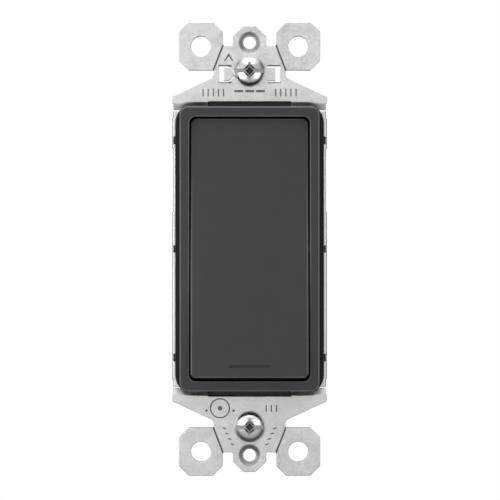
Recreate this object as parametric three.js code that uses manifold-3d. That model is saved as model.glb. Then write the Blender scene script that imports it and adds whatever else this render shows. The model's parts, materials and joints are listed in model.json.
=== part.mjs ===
// A decorator-style rocker wall switch for a single-gang box, as an assembly of separate pieces.
// Units are millimetres. X runs to the right, Z up, and Y from the front to the back.
// The origin is the middle of the strap's rear bearing plane, midway between the two device screws.
import * as THREE from "three";
import { mergeVertices } from "three/addons/utils/BufferGeometryUtils.js";
import Module from "manifold-3d";

const wasm = await Module();
wasm.setup();

// ---------- driving dimensions ----------
const SHEET = 1.2; // strap sheet thickness
const GAP = 0.3; // usual clearance between neighbouring pieces
const SEAT = 0.05; // gap left between faces that rest on each other
const PAST = 1.0; // how far cutting tools reach past the faces they open
const BITE = 0.1; // how far joined shapes run into one another
const DEVICE_SCREW_Z = 41.67; // half of the standard 83.34 mm device-screw spacing
const PLATE_SCREW_Z = 48.42; // half of the standard 96.84 mm wall-plate-screw spacing
const STRAP = { halfHeight: 53.2, halfWidth: 18.15, waistCut: 0.25, waistLow: 8.8, waistHigh: 23.6 };
const EAR = { inner: 6.3, outer: 16.55, bottom: 41.9, corner: 2.3, holeX: 11.4, holeZ: 47.55, holeR: 2.35 };
const NECK = { halfWidth: 8.45, shoulderTop: 40.25, shoulderBottom: 35.7, ease: 0.45 };
const TAB = { halfWidth: 3.9, top: 52.3, tipHalfWidth: 1.4, chamferBottom: 49.9, notchFloor: 47.7, ease: 0.4 };
const PLATE_HOLE = { r: 1.47, sinkR: 2.6, sinkDepth: 0.5 };
const DEVICE_HOLE = { halfWidth: 3.3, r: 1.95 };
const WINDOW = { halfWidth: 15.2, halfHeight: 31.8, slotHalfWidth: 9.75, slotHalfHeight: 34.55 };
const RAIL = { setBack: 0.6, bendTop: 34.5, bendBottom: 33.6, flangeDepth: 4.5, halfLength: 32.4 };
const GRIP = { inner: 6.0, outer: 7.17, bottom: 39.1, top: 42.9, slitInner: 4.2 };
const SCORE = { width: 0.35, depth: 0.3, inset: 0.15, margin: 0.45 };
const GROUND_TAB = { left: -9.9, right: -2.8, depth: 10.5, screwX: -6.2, screwY: 6.1, holeR: 2.0 };
const THROUGH = { front: -4, back: 9 }; // depth range of tools that open the whole strap

const FACE_Y = -6.8; // front face of the bezel
const COVER = { faceHalfWidth: 16.1, faceHalfHeight: 33.05, baseHalfWidth: 17.2, baseHalfHeight: 33.3 };
const COVER_EDGE = { faceCorner: 1.7, baseCorner: 3.7, rounding: 0.45, back: -0.65 };
const OPENING = { halfWidth: 14.0, halfHeight: 30.7, corner: 1.5 };
const COLLAR = { wall: 0.95, back: 0.2 };
const HOOK = { places: [-25.5, 0, 25.5], halfWidth: 0.775, outer: 17.45, legInner: 16.95, back: 6.4 };
const HOOK_ROOT = { inner: 16.5, front: -1.7, back: 0.5 };
const HOOK_HOLE = { inner: 16.35, outer: 17.72, halfHeight: 1.1 };
const HOOK_POCKET = { halfHeight: 1.3, outer: 17.65 };
const BARB = { inner: 16.35, front: 5.2 };

const PIVOT_Y = -2.6; // depth of the paddle's rocking axis, which runs along X
const TILT = THREE.MathUtils.degToRad(3.6); // the paddle rests this far either side of level
const PADDLE = { halfWidth: 13.65, halfHeight: 30.15, corner: 1.2, face: -4.25, plate: 1.5, wall: 1.3 };
const SKIRT = { rounding: 0.45, draftX: 0.1, draftZ: 0.2, end: -1.4 };
const RIB = { thickness: 1.0, end: -0.6, x: 4.5, pitchZ: 9.6, rows: [-2, -1, 1, 2] };
const TRUNNION = { r: 1.43, reach: 14.95, lobeR: 1.6, boss: 0.4, holeR: 1.5, holeReach: 15.3 };
const STEM = { r: 3.0, boreR: 1.9, floor: -2.0, end: 11.2 };
const PLUNGER = { r: 1.78, tipR: 1.5, tip: 15.1, shoulder: 13.2, start: 6.4, coreR: 1.15, coreDepth: 5.0 };
const SPRING = { coilR: 0.86, wireR: 0.22, turns: 7, start: -1.7, end: 10.4, sides: 6, stepsPerTurn: 12 };

const BODY = { halfWidth: 16.65, halfHeight: 34.4, front: 0.75, back: 26.0, corner: 2.2, edge: 1.2 };
const LIP = { halfWidth: 10.4, reach: 35.4, back: 4.5 };
const PARTING = { y: 8.0, halfWidth: 0.2, depth: 0.35 };
const DECK = { halfWidth: 13.6, halfHeight: 30.3, front: -0.9, corner: 1.2 };
const CHAMBER = { halfWidth: 3.3, bottom: -11.9, top: 7.3, back: 20.0 };
const BUMPER = { halfWidth: 5.0, z: 27.0, halfHeight: 1.5, front: -1.2, back: 0.6 };

const ARM = { pivotY: 14.7, thickness: 0.8, halfWidth: 2.5, bottom: -10.7, top: 6.0 };
const ARM_NOTCH = { halfHeight: 0.45, depth: 0.2 }; // where the knife edge bears
const ARM_RATIO = 1.5; // the arm turns this much faster than the paddle, the other way
const CONTACT = { r: 1.6, height: 0.95, z: -9.0 };
const TERMINAL = { x: 9.2, sheet: 1.0, front: 8.6, back: 17.4, halfHeight: 4.5, holeR: 2.0, linkHalfWidth: 2.4 };
const LINE = { screwZ: 10.0, linkY: 16.4, linkBottom: -2.0, linkTop: 2.0 };
const KNIFE = { reach: 0.95, halfHeight: 0.5 }; // the edge the contact arm rocks on
const LOAD = { screwZ: -17.0, linkY: 18.25, linkBottom: -11.2, linkTop: -7.0 };
const LEG_FRONT = 14.4; // front edge of the legs that join terminal plates to their links
const TERMINAL_SCREW = {
  seatX: 11.9, y: 13.0, headR: 3.5, headHeight: 2.4, shankR: 1.95, length: 5.3, edge: 0.5,
};
const CLAMP = { x: 10.5, sheet: 1.2, halfHeight: 4.4, front: 9.0, back: 17.0, holeR: 2.1 };
const WIRE_HOLE = { r: 1.25, x: 10.8, offsetZ: 3.2, start: 17, funnel: 0.7 };
const TERMINAL_RECESS = { front: 8.2, back: 17.8, margin: 0.5, screwEnd: 6.2, groundEnd: -30 };
const GAUGE = { x: -11.5, halfWidth: 0.6, bottom: -20, top: -9, depth: 0.5 };

const DEVICE_SCREW = { headR: 3.67, headHeight: 2.0, shankR: 1.7, end: 24.2, point: 1.0 };
// The domed head, as parts of its radius and height.
const HEAD_DOME = [[0.45, 0.95], [0.75, 0.76], [0.95, 0.42], [1, 0.15]];
const DRIVE = { depth: 1.1, crossHalf: 1.95, armHalf: 0.45 };
const SLOT = { depth: 0.85, half: 4.2, halfWidth: 0.47 };
const RETAINER = { half: 3.5, thickness: 1.0, holeR: 1.8 };
const CLIP = { halfWidth: 5.6, bottom: 38.6, top: 45.6, thickness: 0.4, holeR: 2.05 };
const CLIP_SHAPE = { waistHalfWidth: 3.3, waistTop: 43.3, fingerEnd: 2.4, fingerHalfWidth: 1.2 };
const ROUND = 28; // facets of a full turn on round shapes
const CORNER_STEPS = 4; // facets of a rounded corner

// ---------- materials ----------
const material = (color, roughness, metalness) => new THREE.MeshStandardMaterial({ color, roughness, metalness });
const ZINC = material(0xc6c5c2, 0.45, 0.9);
const NICKEL = material(0xb9bbbf, 0.25, 1.0);
const DARK_PLASTIC = material(0x45474b, 0.45, 0.0);
const BODY_PLASTIC = material(0x2a2b2e, 0.6, 0.0);
const BRASS = material(0xc4a25a, 0.35, 1.0);
const SILVER = material(0xd9d9d6, 0.3, 1.0);
const SPRING_STEEL = material(0x9a9b9d, 0.35, 1.0);
const GREEN_PLATING = material(0x2f7d4a, 0.4, 0.7);
const FIBRE = material(0xb3926a, 0.85, 0.0);
const RUBBER = material(0x1c1c1d, 0.9, 0.0);
const ACETAL = material(0xe6e3da, 0.5, 0.0);

// ---------- ways to make a solid ----------
function solid(geometry) {
  geometry.deleteAttribute("normal");
  geometry.deleteAttribute("uv");
  const merged = mergeVertices(geometry, 1e-4);
  return new wasm.Manifold(
    new wasm.Mesh({
      numProp: 3,
      vertProperties: new Float32Array(merged.attributes.position.array),
      triVerts: new Uint32Array(merged.index.array),
    }),
  );
}

const join = (solids) => solids.reduce((sum, next) => sum.add(next));
const cut = (body, tools) => tools.reduce((left, tool) => left.subtract(tool), body);

// A block between two corners.
function block([x0, y0, z0], [x1, y1, z1]) {
  const g = new THREE.BoxGeometry(Math.abs(x1 - x0), Math.abs(y1 - y0), Math.abs(z1 - z0));
  g.translate((x0 + x1) / 2, (y0 + y1) / 2, (z0 + z1) / 2);
  return solid(g);
}

const bothSides = (make) => [make(1), make(-1)];
const fourWays = (make) => bothSides((sx) => bothSides((sz) => make(sx, sz))).flat();

const polygon = (points) => new THREE.Shape(points.map(([a, b]) => new THREE.Vector2(a, b)));
const AXIS = { x: new THREE.Vector3(1, 0, 0), y: new THREE.Vector3(0, 1, 0), z: new THREE.Vector3(0, 0, 1) };

// An outline drawn in (x, z), made solid between two depths.
function slab(outline, y0, y1) {
  const g = new THREE.ExtrudeGeometry(outline, { depth: y1 - y0, bevelEnabled: false });
  g.applyMatrix4(new THREE.Matrix4().makeBasis(AXIS.x, AXIS.z, AXIS.y.clone().negate()));
  g.translate(0, y1, 0);
  return solid(g);
}

// An outline drawn in (y, z), made solid between two places along X.
function sideSlab(outline, x0, x1) {
  const g = new THREE.ExtrudeGeometry(outline, { depth: x1 - x0, bevelEnabled: false });
  g.applyMatrix4(new THREE.Matrix4().makeBasis(AXIS.y, AXIS.z, AXIS.x));
  g.translate(x0, 0, 0);
  return solid(g);
}

// The corners of a rounded rectangle, anticlockwise in (x, z).
function roundedRectangle(halfWidth, halfHeight, r) {
  const quarter = Math.PI / 2;
  const centres = [
    [1, 1],
    [-1, 1],
    [-1, -1],
    [1, -1],
  ];
  return centres.flatMap(([sx, sz], i) =>
    Array.from({ length: CORNER_STEPS + 1 }, (_, k) => {
      const a = quarter * (i + k / CORNER_STEPS);
      return [sx * (halfWidth - r) + r * Math.cos(a), sz * (halfHeight - r) + r * Math.sin(a)];
    }),
  );
}

// A convex solid through sections {y, ring} with equally many corners, listed from front to back.
function loft(sections) {
  const n = sections[0].ring.length;
  const positions = sections.flatMap(({ y, ring }) => ring.flatMap(([x, z]) => [x, y, z]));
  const faces = [];
  for (let s = 0; s + 1 < sections.length; s += 1)
    for (let i = 0; i < n; i += 1) {
      const a = s * n + i;
      const b = s * n + ((i + 1) % n);
      faces.push(a, a + n, b, b, a + n, b + n);
    }
  const last = (sections.length - 1) * n;
  for (let i = 1; i + 1 < n; i += 1) {
    faces.push(0, i, i + 1);
    faces.push(last, last + i + 1, last + i);
  }
  const g = new THREE.BufferGeometry();
  g.setAttribute("position", new THREE.Float32BufferAttribute(positions, 3));
  g.setIndex(faces);
  return solid(g);
}

// A straight rounded-rectangular bar along Y, between two depths.
const tube = (halfWidth, halfHeight, corner, y0, y1) =>
  loft([y0, y1].map((y) => ({ y, ring: roundedRectangle(halfWidth, halfHeight, corner) })));

// A round bar along Y.
function barY(r, y0, y1, x = 0, z = 0, rFront = r) {
  const g = new THREE.CylinderGeometry(r, rFront, y1 - y0, ROUND);
  g.translate(x, (y0 + y1) / 2, z);
  return solid(g);
}

// A round bar along X.
function barX(r, x0, x1, y, z) {
  const g = new THREE.CylinderGeometry(r, r, Math.abs(x1 - x0), ROUND);
  g.rotateZ(Math.PI / 2);
  g.translate((x0 + x1) / 2, y, z);
  return solid(g);
}

// A round bar along Z.
function barZ(r, z0, z1, x, y) {
  const g = new THREE.CylinderGeometry(r, r, z1 - z0, ROUND);
  g.rotateX(Math.PI / 2);
  g.translate(x, y, (z0 + z1) / 2);
  return solid(g);
}

// A solid of revolution about the Y axis, through (radius, y) points listed with growing y.
function turned(points) {
  return solid(new THREE.LatheGeometry(points.map(([r, y]) => new THREE.Vector2(r, y)), ROUND));
}

function meshOf(name, body, mat) {
  const m = body.getMesh();
  const positions = new Float32Array(m.numVert * 3);
  for (let i = 0; i < m.numVert; i += 1)
    positions.set(m.vertProperties.subarray(i * m.numProp, i * m.numProp + 3), i * 3);
  const g = new THREE.BufferGeometry();
  g.setAttribute("position", new THREE.BufferAttribute(positions, 3));
  g.setIndex(new THREE.BufferAttribute(new Uint32Array(m.triVerts), 1));
  g.computeVertexNormals();
  const mesh = new THREE.Mesh(g, mat);
  mesh.name = name;
  return mesh;
}

// ---------- strap ----------
// The strap's outline: body, shoulders, necks, break-off ears and the notched tab at each end.
function strapOutline() {
  const quarter = [
    [STRAP.halfWidth, NECK.shoulderBottom],
    [NECK.halfWidth + 2 * NECK.ease, NECK.shoulderTop - NECK.ease],
    [NECK.halfWidth, NECK.shoulderTop + NECK.ease],
    [NECK.halfWidth, EAR.bottom],
    [EAR.outer - EAR.corner, EAR.bottom],
    [EAR.outer, EAR.bottom + EAR.corner],
    [EAR.outer, STRAP.halfHeight - EAR.corner],
    [EAR.outer - EAR.corner, STRAP.halfHeight],
    [EAR.inner + EAR.corner, STRAP.halfHeight],
    [EAR.inner, STRAP.halfHeight - EAR.corner],
    [EAR.inner, TAB.notchFloor + TAB.ease],
    [EAR.inner - TAB.ease, TAB.notchFloor],
    [TAB.halfWidth + TAB.ease, TAB.notchFloor],
    [TAB.halfWidth, TAB.notchFloor + TAB.ease],
    [TAB.halfWidth, TAB.chamferBottom],
    [TAB.tipHalfWidth, TAB.top],
  ];
  const top = [...quarter, ...quarter.map(([x, z]) => [-x, z]).reverse()];
  const bottom = top.map(([x, z]) => [-x, -z]);
  return polygon([...top, ...bottom]);
}

// The bent sheet seen from the side: level ends, with the middle set back between two bends.
function sheetProfile() {
  const back = [
    [0, STRAP.halfHeight],
    [0, RAIL.bendTop],
    [RAIL.setBack, RAIL.bendBottom],
    [RAIL.setBack, -RAIL.bendBottom],
    [0, -RAIL.bendTop],
    [0, -STRAP.halfHeight],
  ];
  const front = back.map(([y, z]) => [y - SHEET, z]).reverse();
  return polygon([...front, ...back].reverse());
}

// A shallow line scored into the front face at the root of an ear, where the ear snaps off.
function scoreLine(sx, sz) {
  const low = [NECK.halfWidth - SCORE.inset, EAR.bottom + SCORE.margin];
  const high = [EAR.inner + SCORE.inset, TAB.notchFloor - SCORE.margin];
  const points = [
    [low[0] - SCORE.width, low[1]],
    [low[0], low[1]],
    [high[0] + SCORE.width, high[1]],
    [high[0], high[1]],
  ].map(([x, z]) => [sx * x, sz * z]);
  if (sx * sz < 0) points.reverse();
  return slab(polygon(points), -SHEET - PAST, -SHEET + SCORE.depth);
}

function deviceScrewHole(sz) {
  const z = sz * DEVICE_SCREW_Z;
  const run = DEVICE_HOLE.halfWidth - DEVICE_HOLE.r;
  const front = -SHEET - PAST;
  const ends = bothSides((sx) => barY(DEVICE_HOLE.r, front, PAST, sx * run, z));
  return join([...ends, block([-run, front, z - DEVICE_HOLE.r], [run, PAST, z + DEVICE_HOLE.r])]);
}

function plateScrewHole(sz) {
  const z = sz * PLATE_SCREW_Z;
  const bottom = -SHEET + PLATE_HOLE.sinkDepth;
  const hole = barY(PLATE_HOLE.r, -SHEET - PAST, PAST, 0, z);
  return hole.add(barY(PLATE_HOLE.r, -SHEET, bottom, 0, z, PLATE_HOLE.sinkR));
}

// The lanced windows either side of the top device screw.
function gripWindows() {
  return bothSides((sx) => {
    const front = -SHEET - PAST;
    const opening = block([sx * GRIP.inner, front, GRIP.bottom], [sx * GRIP.outer, PAST, GRIP.top]);
    const slits = [GRIP.bottom, GRIP.top].map((z) =>
      block([sx * GRIP.slitInner, front, z - SCORE.width], [sx * GRIP.inner, -SHEET + SCORE.depth, z]),
    );
    return join([opening, ...slits]);
  });
}

// An opening through the whole strap, between two corners in (x, z).
const window = ([x0, z0], [x1, z1]) => block([x0, THROUGH.front, z0], [x1, THROUGH.back, z1]);

function strap() {
  const past = STRAP.halfWidth + PAST;
  const level = slab(strapOutline(), THROUGH.front, THROUGH.back);
  const sheet = sideSlab(sheetProfile(), -past, past).intersect(level);
  const flanges = bothSides((sx) =>
    block(
      [sx * (STRAP.halfWidth - SHEET), RAIL.setBack - SHEET, -RAIL.halfLength],
      [sx * STRAP.halfWidth, RAIL.flangeDepth, RAIL.halfLength],
    ),
  );
  const { halfWidth, halfHeight, slotHalfWidth, slotHalfHeight } = WINDOW;
  const tabTop = -slotHalfHeight;
  const groundTab = block(
    [GROUND_TAB.left, -SHEET / 2, tabTop - SHEET],
    [GROUND_TAB.right, GROUND_TAB.depth, tabTop],
  );
  const waist = STRAP.halfWidth - STRAP.waistCut;
  const hookHoles = HOOK.places.flatMap((z) =>
    bothSides((sx) =>
      window(
        [sx * HOOK_HOLE.inner, z - HOOK_HOLE.halfHeight],
        [sx * HOOK_HOLE.outer, z + HOOK_HOLE.halfHeight],
      ),
    ),
  );
  const slots = bothSides((sz) =>
    block([-slotHalfWidth, THROUGH.front, 0], [slotHalfWidth, -THROUGH.front, sz * slotHalfHeight]),
  );
  return cut(join([sheet, ...flanges, groundTab]), [
    window([-halfWidth, -halfHeight], [halfWidth, halfHeight]),
    ...slots,
    barZ(GROUND_TAB.holeR, tabTop - SHEET - PAST, tabTop + PAST, GROUND_TAB.screwX, GROUND_TAB.screwY),
    ...bothSides((sx) => window([sx * waist, STRAP.waistLow], [sx * past, STRAP.waistHigh])),
    ...hookHoles,
    ...fourWays((sx, sz) => barY(EAR.holeR, -SHEET - PAST, PAST, sx * EAR.holeX, sz * EAR.holeZ)),
    ...fourWays(scoreLine),
    ...bothSides(deviceScrewHole),
    ...bothSides(plateScrewHole),
    ...gripWindows(),
  ]);
}

// ---------- front cover ----------
function coverHook(sx, z) {
  const low = z - HOOK.halfWidth;
  const high = z + HOOK.halfWidth;
  return join([
    block([sx * HOOK_ROOT.inner, HOOK_ROOT.front, low], [sx * HOOK.outer, HOOK_ROOT.back, high]),
    block([sx * HOOK.legInner, HOOK_ROOT.front, low], [sx * HOOK.outer, HOOK.back, high]),
    block([sx * BARB.inner, BARB.front, low], [sx * HOOK.outer, HOOK.back, high]),
  ]);
}

function frontCover() {
  const { faceHalfWidth, faceHalfHeight, baseHalfWidth, baseHalfHeight } = COVER;
  const { faceCorner, baseCorner, rounding, back } = COVER_EDGE;
  const { halfWidth, halfHeight, corner } = OPENING;
  const shell = loft([
    { y: FACE_Y, ring: roundedRectangle(faceHalfWidth - rounding, faceHalfHeight - rounding, faceCorner) },
    { y: FACE_Y + rounding, ring: roundedRectangle(faceHalfWidth, faceHalfHeight, faceCorner + rounding) },
    { y: back, ring: roundedRectangle(baseHalfWidth, baseHalfHeight, baseCorner) },
  ]);
  const collar = tube(halfWidth + COLLAR.wall, halfHeight + COLLAR.wall, corner, back - PAST, COLLAR.back);
  const hooks = HOOK.places.flatMap((z) => bothSides((sx) => coverHook(sx, z)));
  const opening = tube(halfWidth, halfHeight, corner, FACE_Y - PAST, COLLAR.back + PAST);
  const bearings = bothSides((sx) =>
    barX(TRUNNION.holeR, sx * (halfWidth - PAST), sx * TRUNNION.holeReach, PIVOT_Y, 0),
  );
  return cut(join([shell, collar, ...hooks]), [opening, ...bearings]);
}

// ---------- paddle, with its axis at the local origin ----------
function paddleShell() {
  const { halfWidth, halfHeight, corner, face, plate, wall } = PADDLE;
  const { rounding, draftX, draftZ, end } = SKIRT;
  const outside = loft([
    { y: face, ring: roundedRectangle(halfWidth - rounding, halfHeight - rounding, corner - 0.3) },
    { y: face + rounding, ring: roundedRectangle(halfWidth, halfHeight, corner) },
    { y: end, ring: roundedRectangle(halfWidth + draftX, halfHeight + draftZ, corner) },
  ]);
  const inside = tube(halfWidth - wall, halfHeight - wall, corner / 2, face + plate, end + PAST);
  return outside.subtract(inside);
}

const PADDLE_INSIDE = PADDLE.face + PADDLE.plate; // depth of the paddle's inner face

function paddleRibs() {
  const root = PADDLE_INSIDE - BITE;
  const reachX = PADDLE.halfWidth - PADDLE.wall + BITE;
  const reachZ = PADDLE.halfHeight - PADDLE.wall + BITE;
  const t = RIB.thickness / 2;
  const long = bothSides((sx) => block([sx * RIB.x - t, root, -reachZ], [sx * RIB.x + t, RIB.end, reachZ]));
  const across = RIB.rows.map((k) =>
    block([-reachX, root, k * RIB.pitchZ - t], [reachX, RIB.end, k * RIB.pitchZ + t]),
  );
  return [...long, ...across];
}

function paddleTrunnions() {
  const root = PADDLE_INSIDE - BITE;
  const inner = PADDLE.halfWidth - PADDLE.wall - TRUNNION.boss;
  return bothSides((sx) => {
    const web = block([sx * inner, root, -TRUNNION.lobeR], [sx * PADDLE.halfWidth, 0, TRUNNION.lobeR]);
    const lobe = barX(TRUNNION.lobeR, sx * inner, sx * PADDLE.halfWidth, 0, 0);
    const pin = barX(TRUNNION.r, sx * inner, sx * TRUNNION.reach, 0, 0);
    return join([web, lobe, pin]);
  });
}

function paddle() {
  const stem = barY(STEM.r, PADDLE_INSIDE - BITE, STEM.end);
  const bore = barY(STEM.boreR, STEM.floor, STEM.end + PAST);
  return join([paddleShell(), ...paddleRibs(), ...paddleTrunnions(), stem]).subtract(bore);
}

// A sprung cup with a rounded nose, which slides in the paddle's stem and presses on the contact arm.
function plunger() {
  const { r, tipR, tip, shoulder, start, coreR, coreDepth } = PLUNGER;
  const nose = Array.from({ length: CORNER_STEPS }, (_, k) => {
    const a = (k / CORNER_STEPS) * (Math.PI / 2);
    return [tipR * Math.cos(a), tip - tipR + tipR * Math.sin(a)];
  });
  const outside = turned([[0, start], [r, start], [r, shoulder], ...nose, [0, tip]]);
  return outside.subtract(barY(coreR, start - PAST, start + coreDepth));
}

class Helix extends THREE.Curve {
  getPoint(t, target = new THREE.Vector3()) {
    const a = 2 * Math.PI * SPRING.turns * t;
    const y = SPRING.start + (SPRING.end - SPRING.start) * t;
    return target.set(SPRING.coilR * Math.cos(a), y, SPRING.coilR * Math.sin(a));
  }
}

function plungerSpring() {
  const section = polygon(
    Array.from({ length: SPRING.sides }, (_, k) => {
      const a = (2 * Math.PI * k) / SPRING.sides;
      return [SPRING.wireR * Math.cos(a), SPRING.wireR * Math.sin(a)];
    }),
  );
  const steps = SPRING.turns * SPRING.stepsPerTurn;
  return solid(new THREE.ExtrudeGeometry(section, { steps, bevelEnabled: false, extrudePath: new Helix() }));
}

// ---------- back body ----------
function terminalCavity(screwZ) {
  const { front, back, margin, screwEnd } = TERMINAL_RECESS;
  const reach = CLAMP.halfHeight + margin;
  const recess = block(
    [TERMINAL.x - GAP, front, screwZ - reach],
    [BODY.halfWidth + PAST, back, screwZ + reach],
  );
  const shank = barX(TERMINAL_SCREW.shankR + GAP, screwEnd, TERMINAL.x, TERMINAL_SCREW.y, screwZ);
  const wires = bothSides((s) => {
    const z = screwZ + s * WIRE_HOLE.offsetZ;
    const hole = barY(WIRE_HOLE.r, WIRE_HOLE.start, BODY.back + PAST, WIRE_HOLE.x, z);
    const mouth = WIRE_HOLE.r + WIRE_HOLE.funnel;
    return hole.add(barY(mouth, BODY.back - WIRE_HOLE.funnel, BODY.back, WIRE_HOLE.x, z, WIRE_HOLE.r));
  });
  return [recess, shank, ...wires];
}

// Ledges that close the strap's slots from behind. The lower one stops short of the ground tab.
function slotLips() {
  const { halfWidth, reach, back } = LIP;
  const inner = BODY.halfHeight - BODY.corner;
  return [
    block([-halfWidth, BODY.front, inner], [halfWidth, back, reach]),
    block([GROUND_TAB.right + SEAT, BODY.front, -reach], [halfWidth, back, -inner]),
  ];
}

// The shallow line round the body where its two halves meet.
function partingLine() {
  const { halfWidth, halfHeight, corner } = BODY;
  const { y, depth } = PARTING;
  const y0 = y - PARTING.halfWidth;
  const y1 = y + PARTING.halfWidth;
  const outside = tube(halfWidth + PAST, halfHeight + PAST, corner, y0, y1);
  return outside.subtract(tube(halfWidth - depth, halfHeight - depth, corner - depth, y0 - PAST, y1 + PAST));
}

function backBody() {
  const { halfWidth, halfHeight, front, back, corner, edge } = BODY;
  const shell = loft([
    { y: front, ring: roundedRectangle(halfWidth, halfHeight, corner) },
    { y: back - edge, ring: roundedRectangle(halfWidth, halfHeight, corner) },
    { y: back, ring: roundedRectangle(halfWidth - edge, halfHeight - edge, corner - edge / 2) },
  ]);
  const deck = tube(DECK.halfWidth, DECK.halfHeight, DECK.corner, DECK.front, front + PAST);
  const slotInner = CHAMBER.halfWidth - BITE;
  const slotOuter = TERMINAL.x + TERMINAL.sheet + GAP;
  const pockets = HOOK.places.flatMap((z) =>
    bothSides((sx) =>
      block(
        [sx * (BARB.inner - GAP), BARB.front - GAP, z - HOOK_POCKET.halfHeight],
        [sx * HOOK_POCKET.outer, HOOK.back + GAP, z + HOOK_POCKET.halfHeight],
      ),
    ),
  );
  const grooves = bothSides((sz) =>
    block(
      [-BUMPER.halfWidth - SEAT, DECK.front - PAST, sz * BUMPER.z - BUMPER.halfHeight - SEAT],
      [BUMPER.halfWidth + SEAT, BUMPER.back + SEAT, sz * BUMPER.z + BUMPER.halfHeight + SEAT],
    ),
  );
  const chamber = block(
    [-CHAMBER.halfWidth, DECK.front - PAST, CHAMBER.bottom],
    [CHAMBER.halfWidth, CHAMBER.back, CHAMBER.top],
  );
  const lineSlot = block(
    [slotInner, LEG_FRONT - GAP, LINE.linkBottom - GAP],
    [slotOuter, TERMINAL.back + GAP, LINE.screwZ - TERMINAL.halfHeight],
  );
  const loadSlot = block(
    [slotInner, LEG_FRONT - GAP, LOAD.screwZ + TERMINAL.halfHeight - GAP],
    [slotOuter, LOAD.linkY + TERMINAL.sheet + GAP, LOAD.linkTop + GAP],
  );
  const groundBore = barZ(
    TERMINAL_SCREW.shankR + GAP,
    -halfHeight - PAST,
    TERMINAL_RECESS.groundEnd,
    GROUND_TAB.screwX,
    GROUND_TAB.screwY,
  );
  const gauge = block(
    [GAUGE.x - GAUGE.halfWidth, back - GAUGE.depth, GAUGE.bottom],
    [GAUGE.x + GAUGE.halfWidth, back + PAST, GAUGE.top],
  );
  const openings = [chamber, lineSlot, loadSlot, groundBore, gauge, ...pockets, ...grooves];
  const cavities = [LINE.screwZ, LOAD.screwZ].flatMap(terminalCavity);
  return cut(join([shell, deck, ...slotLips()]), [...openings, ...cavities, partingLine()]);
}

const bumper = (sz) =>
  block(
    [-BUMPER.halfWidth, BUMPER.front, sz * BUMPER.z - BUMPER.halfHeight],
    [BUMPER.halfWidth, BUMPER.back, sz * BUMPER.z + BUMPER.halfHeight],
  );

// ---------- contacts and terminals ----------
// The see-saw blade, with its rocking axis at the local origin.
function contactArm() {
  const t = ARM.thickness / 2;
  const blade = block([-ARM.halfWidth, -t, ARM.bottom], [ARM.halfWidth, t, ARM.top]);
  const past = ARM.halfWidth + PAST;
  const notch = polygon([
    [t + BITE, ARM_NOTCH.halfHeight],
    [t - ARM_NOTCH.depth, 0],
    [t + BITE, -ARM_NOTCH.halfHeight],
  ]);
  return blade.subtract(sideSlab(notch, -past, past));
}

function terminalPlate(screwZ) {
  const { x, sheet, front, back, halfHeight, holeR } = TERMINAL;
  const plate = block([x, front, screwZ - halfHeight], [x + sheet, back, screwZ + halfHeight]);
  return plate.subtract(barX(holeR, x - PAST, x + sheet + PAST, TERMINAL_SCREW.y, screwZ));
}

function lineTerminal() {
  const outer = TERMINAL.x + TERMINAL.sheet;
  const top = LINE.screwZ - TERMINAL.halfHeight;
  const knifeEdge = polygon([
    [LINE.linkY + BITE, -KNIFE.halfHeight],
    [LINE.linkY + BITE, KNIFE.halfHeight],
    [LINE.linkY - KNIFE.reach, 0],
  ]);
  return join([
    terminalPlate(LINE.screwZ),
    block([TERMINAL.x, LEG_FRONT, LINE.linkBottom], [outer, TERMINAL.back, top + BITE]),
    block([-TERMINAL.linkHalfWidth, LINE.linkY, LINE.linkBottom], [outer, TERMINAL.back, LINE.linkTop]),
    sideSlab(knifeEdge, -TERMINAL.linkHalfWidth, TERMINAL.linkHalfWidth),
  ]);
}

function loadTerminal() {
  const outer = TERMINAL.x + TERMINAL.sheet;
  const back = LOAD.linkY + TERMINAL.sheet;
  const bottom = LOAD.screwZ + TERMINAL.halfHeight - BITE;
  return join([
    terminalPlate(LOAD.screwZ),
    block([TERMINAL.x, LEG_FRONT, bottom], [outer, back, LOAD.linkTop]),
    block([-TERMINAL.linkHalfWidth, LOAD.linkY, LOAD.linkBottom], [outer, back, LOAD.linkTop]),
  ]);
}

function pressurePlate(screwZ) {
  const { x, sheet, halfHeight, front, back, holeR } = CLAMP;
  const plate = block([x, front, screwZ - halfHeight], [x + sheet, back, screwZ + halfHeight]);
  return plate.subtract(barX(holeR, x - PAST, x + sheet + PAST, TERMINAL_SCREW.y, screwZ));
}

// ---------- fasteners, with their axis along Y and the head in front of the local origin ----------
function combinationDrive(top) {
  const { depth, crossHalf, armHalf } = DRIVE;
  const front = top - PAST;
  return [
    block([-crossHalf, front, -armHalf], [crossHalf, top + depth, armHalf]),
    block([-armHalf, front, -crossHalf], [armHalf, top + depth, crossHalf]),
    block([-SLOT.half, front, -SLOT.halfWidth], [SLOT.half, top + SLOT.depth, SLOT.halfWidth]),
  ];
}

function deviceScrew() {
  const { headR, headHeight, shankR, end, point } = DEVICE_SCREW;
  const dome = HEAD_DOME.map(([r, y]) => [headR * r, -headHeight * y]);
  const body = turned([
    [0, -headHeight],
    ...dome,
    [headR, 0],
    [shankR, 0],
    [shankR, end - point],
    [shankR - point / 2, end],
    [0, end],
  ]);
  return cut(body, combinationDrive(-headHeight));
}

function terminalScrew() {
  const { headR, headHeight, shankR, length, edge } = TERMINAL_SCREW;
  const body = turned([
    [0, -headHeight],
    [headR - edge, -headHeight],
    [headR, -headHeight + edge],
    [headR, 0],
    [shankR, 0],
    [shankR, length - edge],
    [shankR - edge, length],
    [0, length],
  ]);
  return cut(body, combinationDrive(-headHeight));
}

// A square fibre washer that keeps a device screw from falling out.
function retainer(sz, y) {
  const z = sz * DEVICE_SCREW_Z;
  const { half, thickness, holeR } = RETAINER;
  const washer = block([-half, y, z - half], [half, y + thickness, z + half]);
  return washer.subtract(barY(holeR, y - PAST, y + thickness + PAST, 0, z));
}

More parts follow.
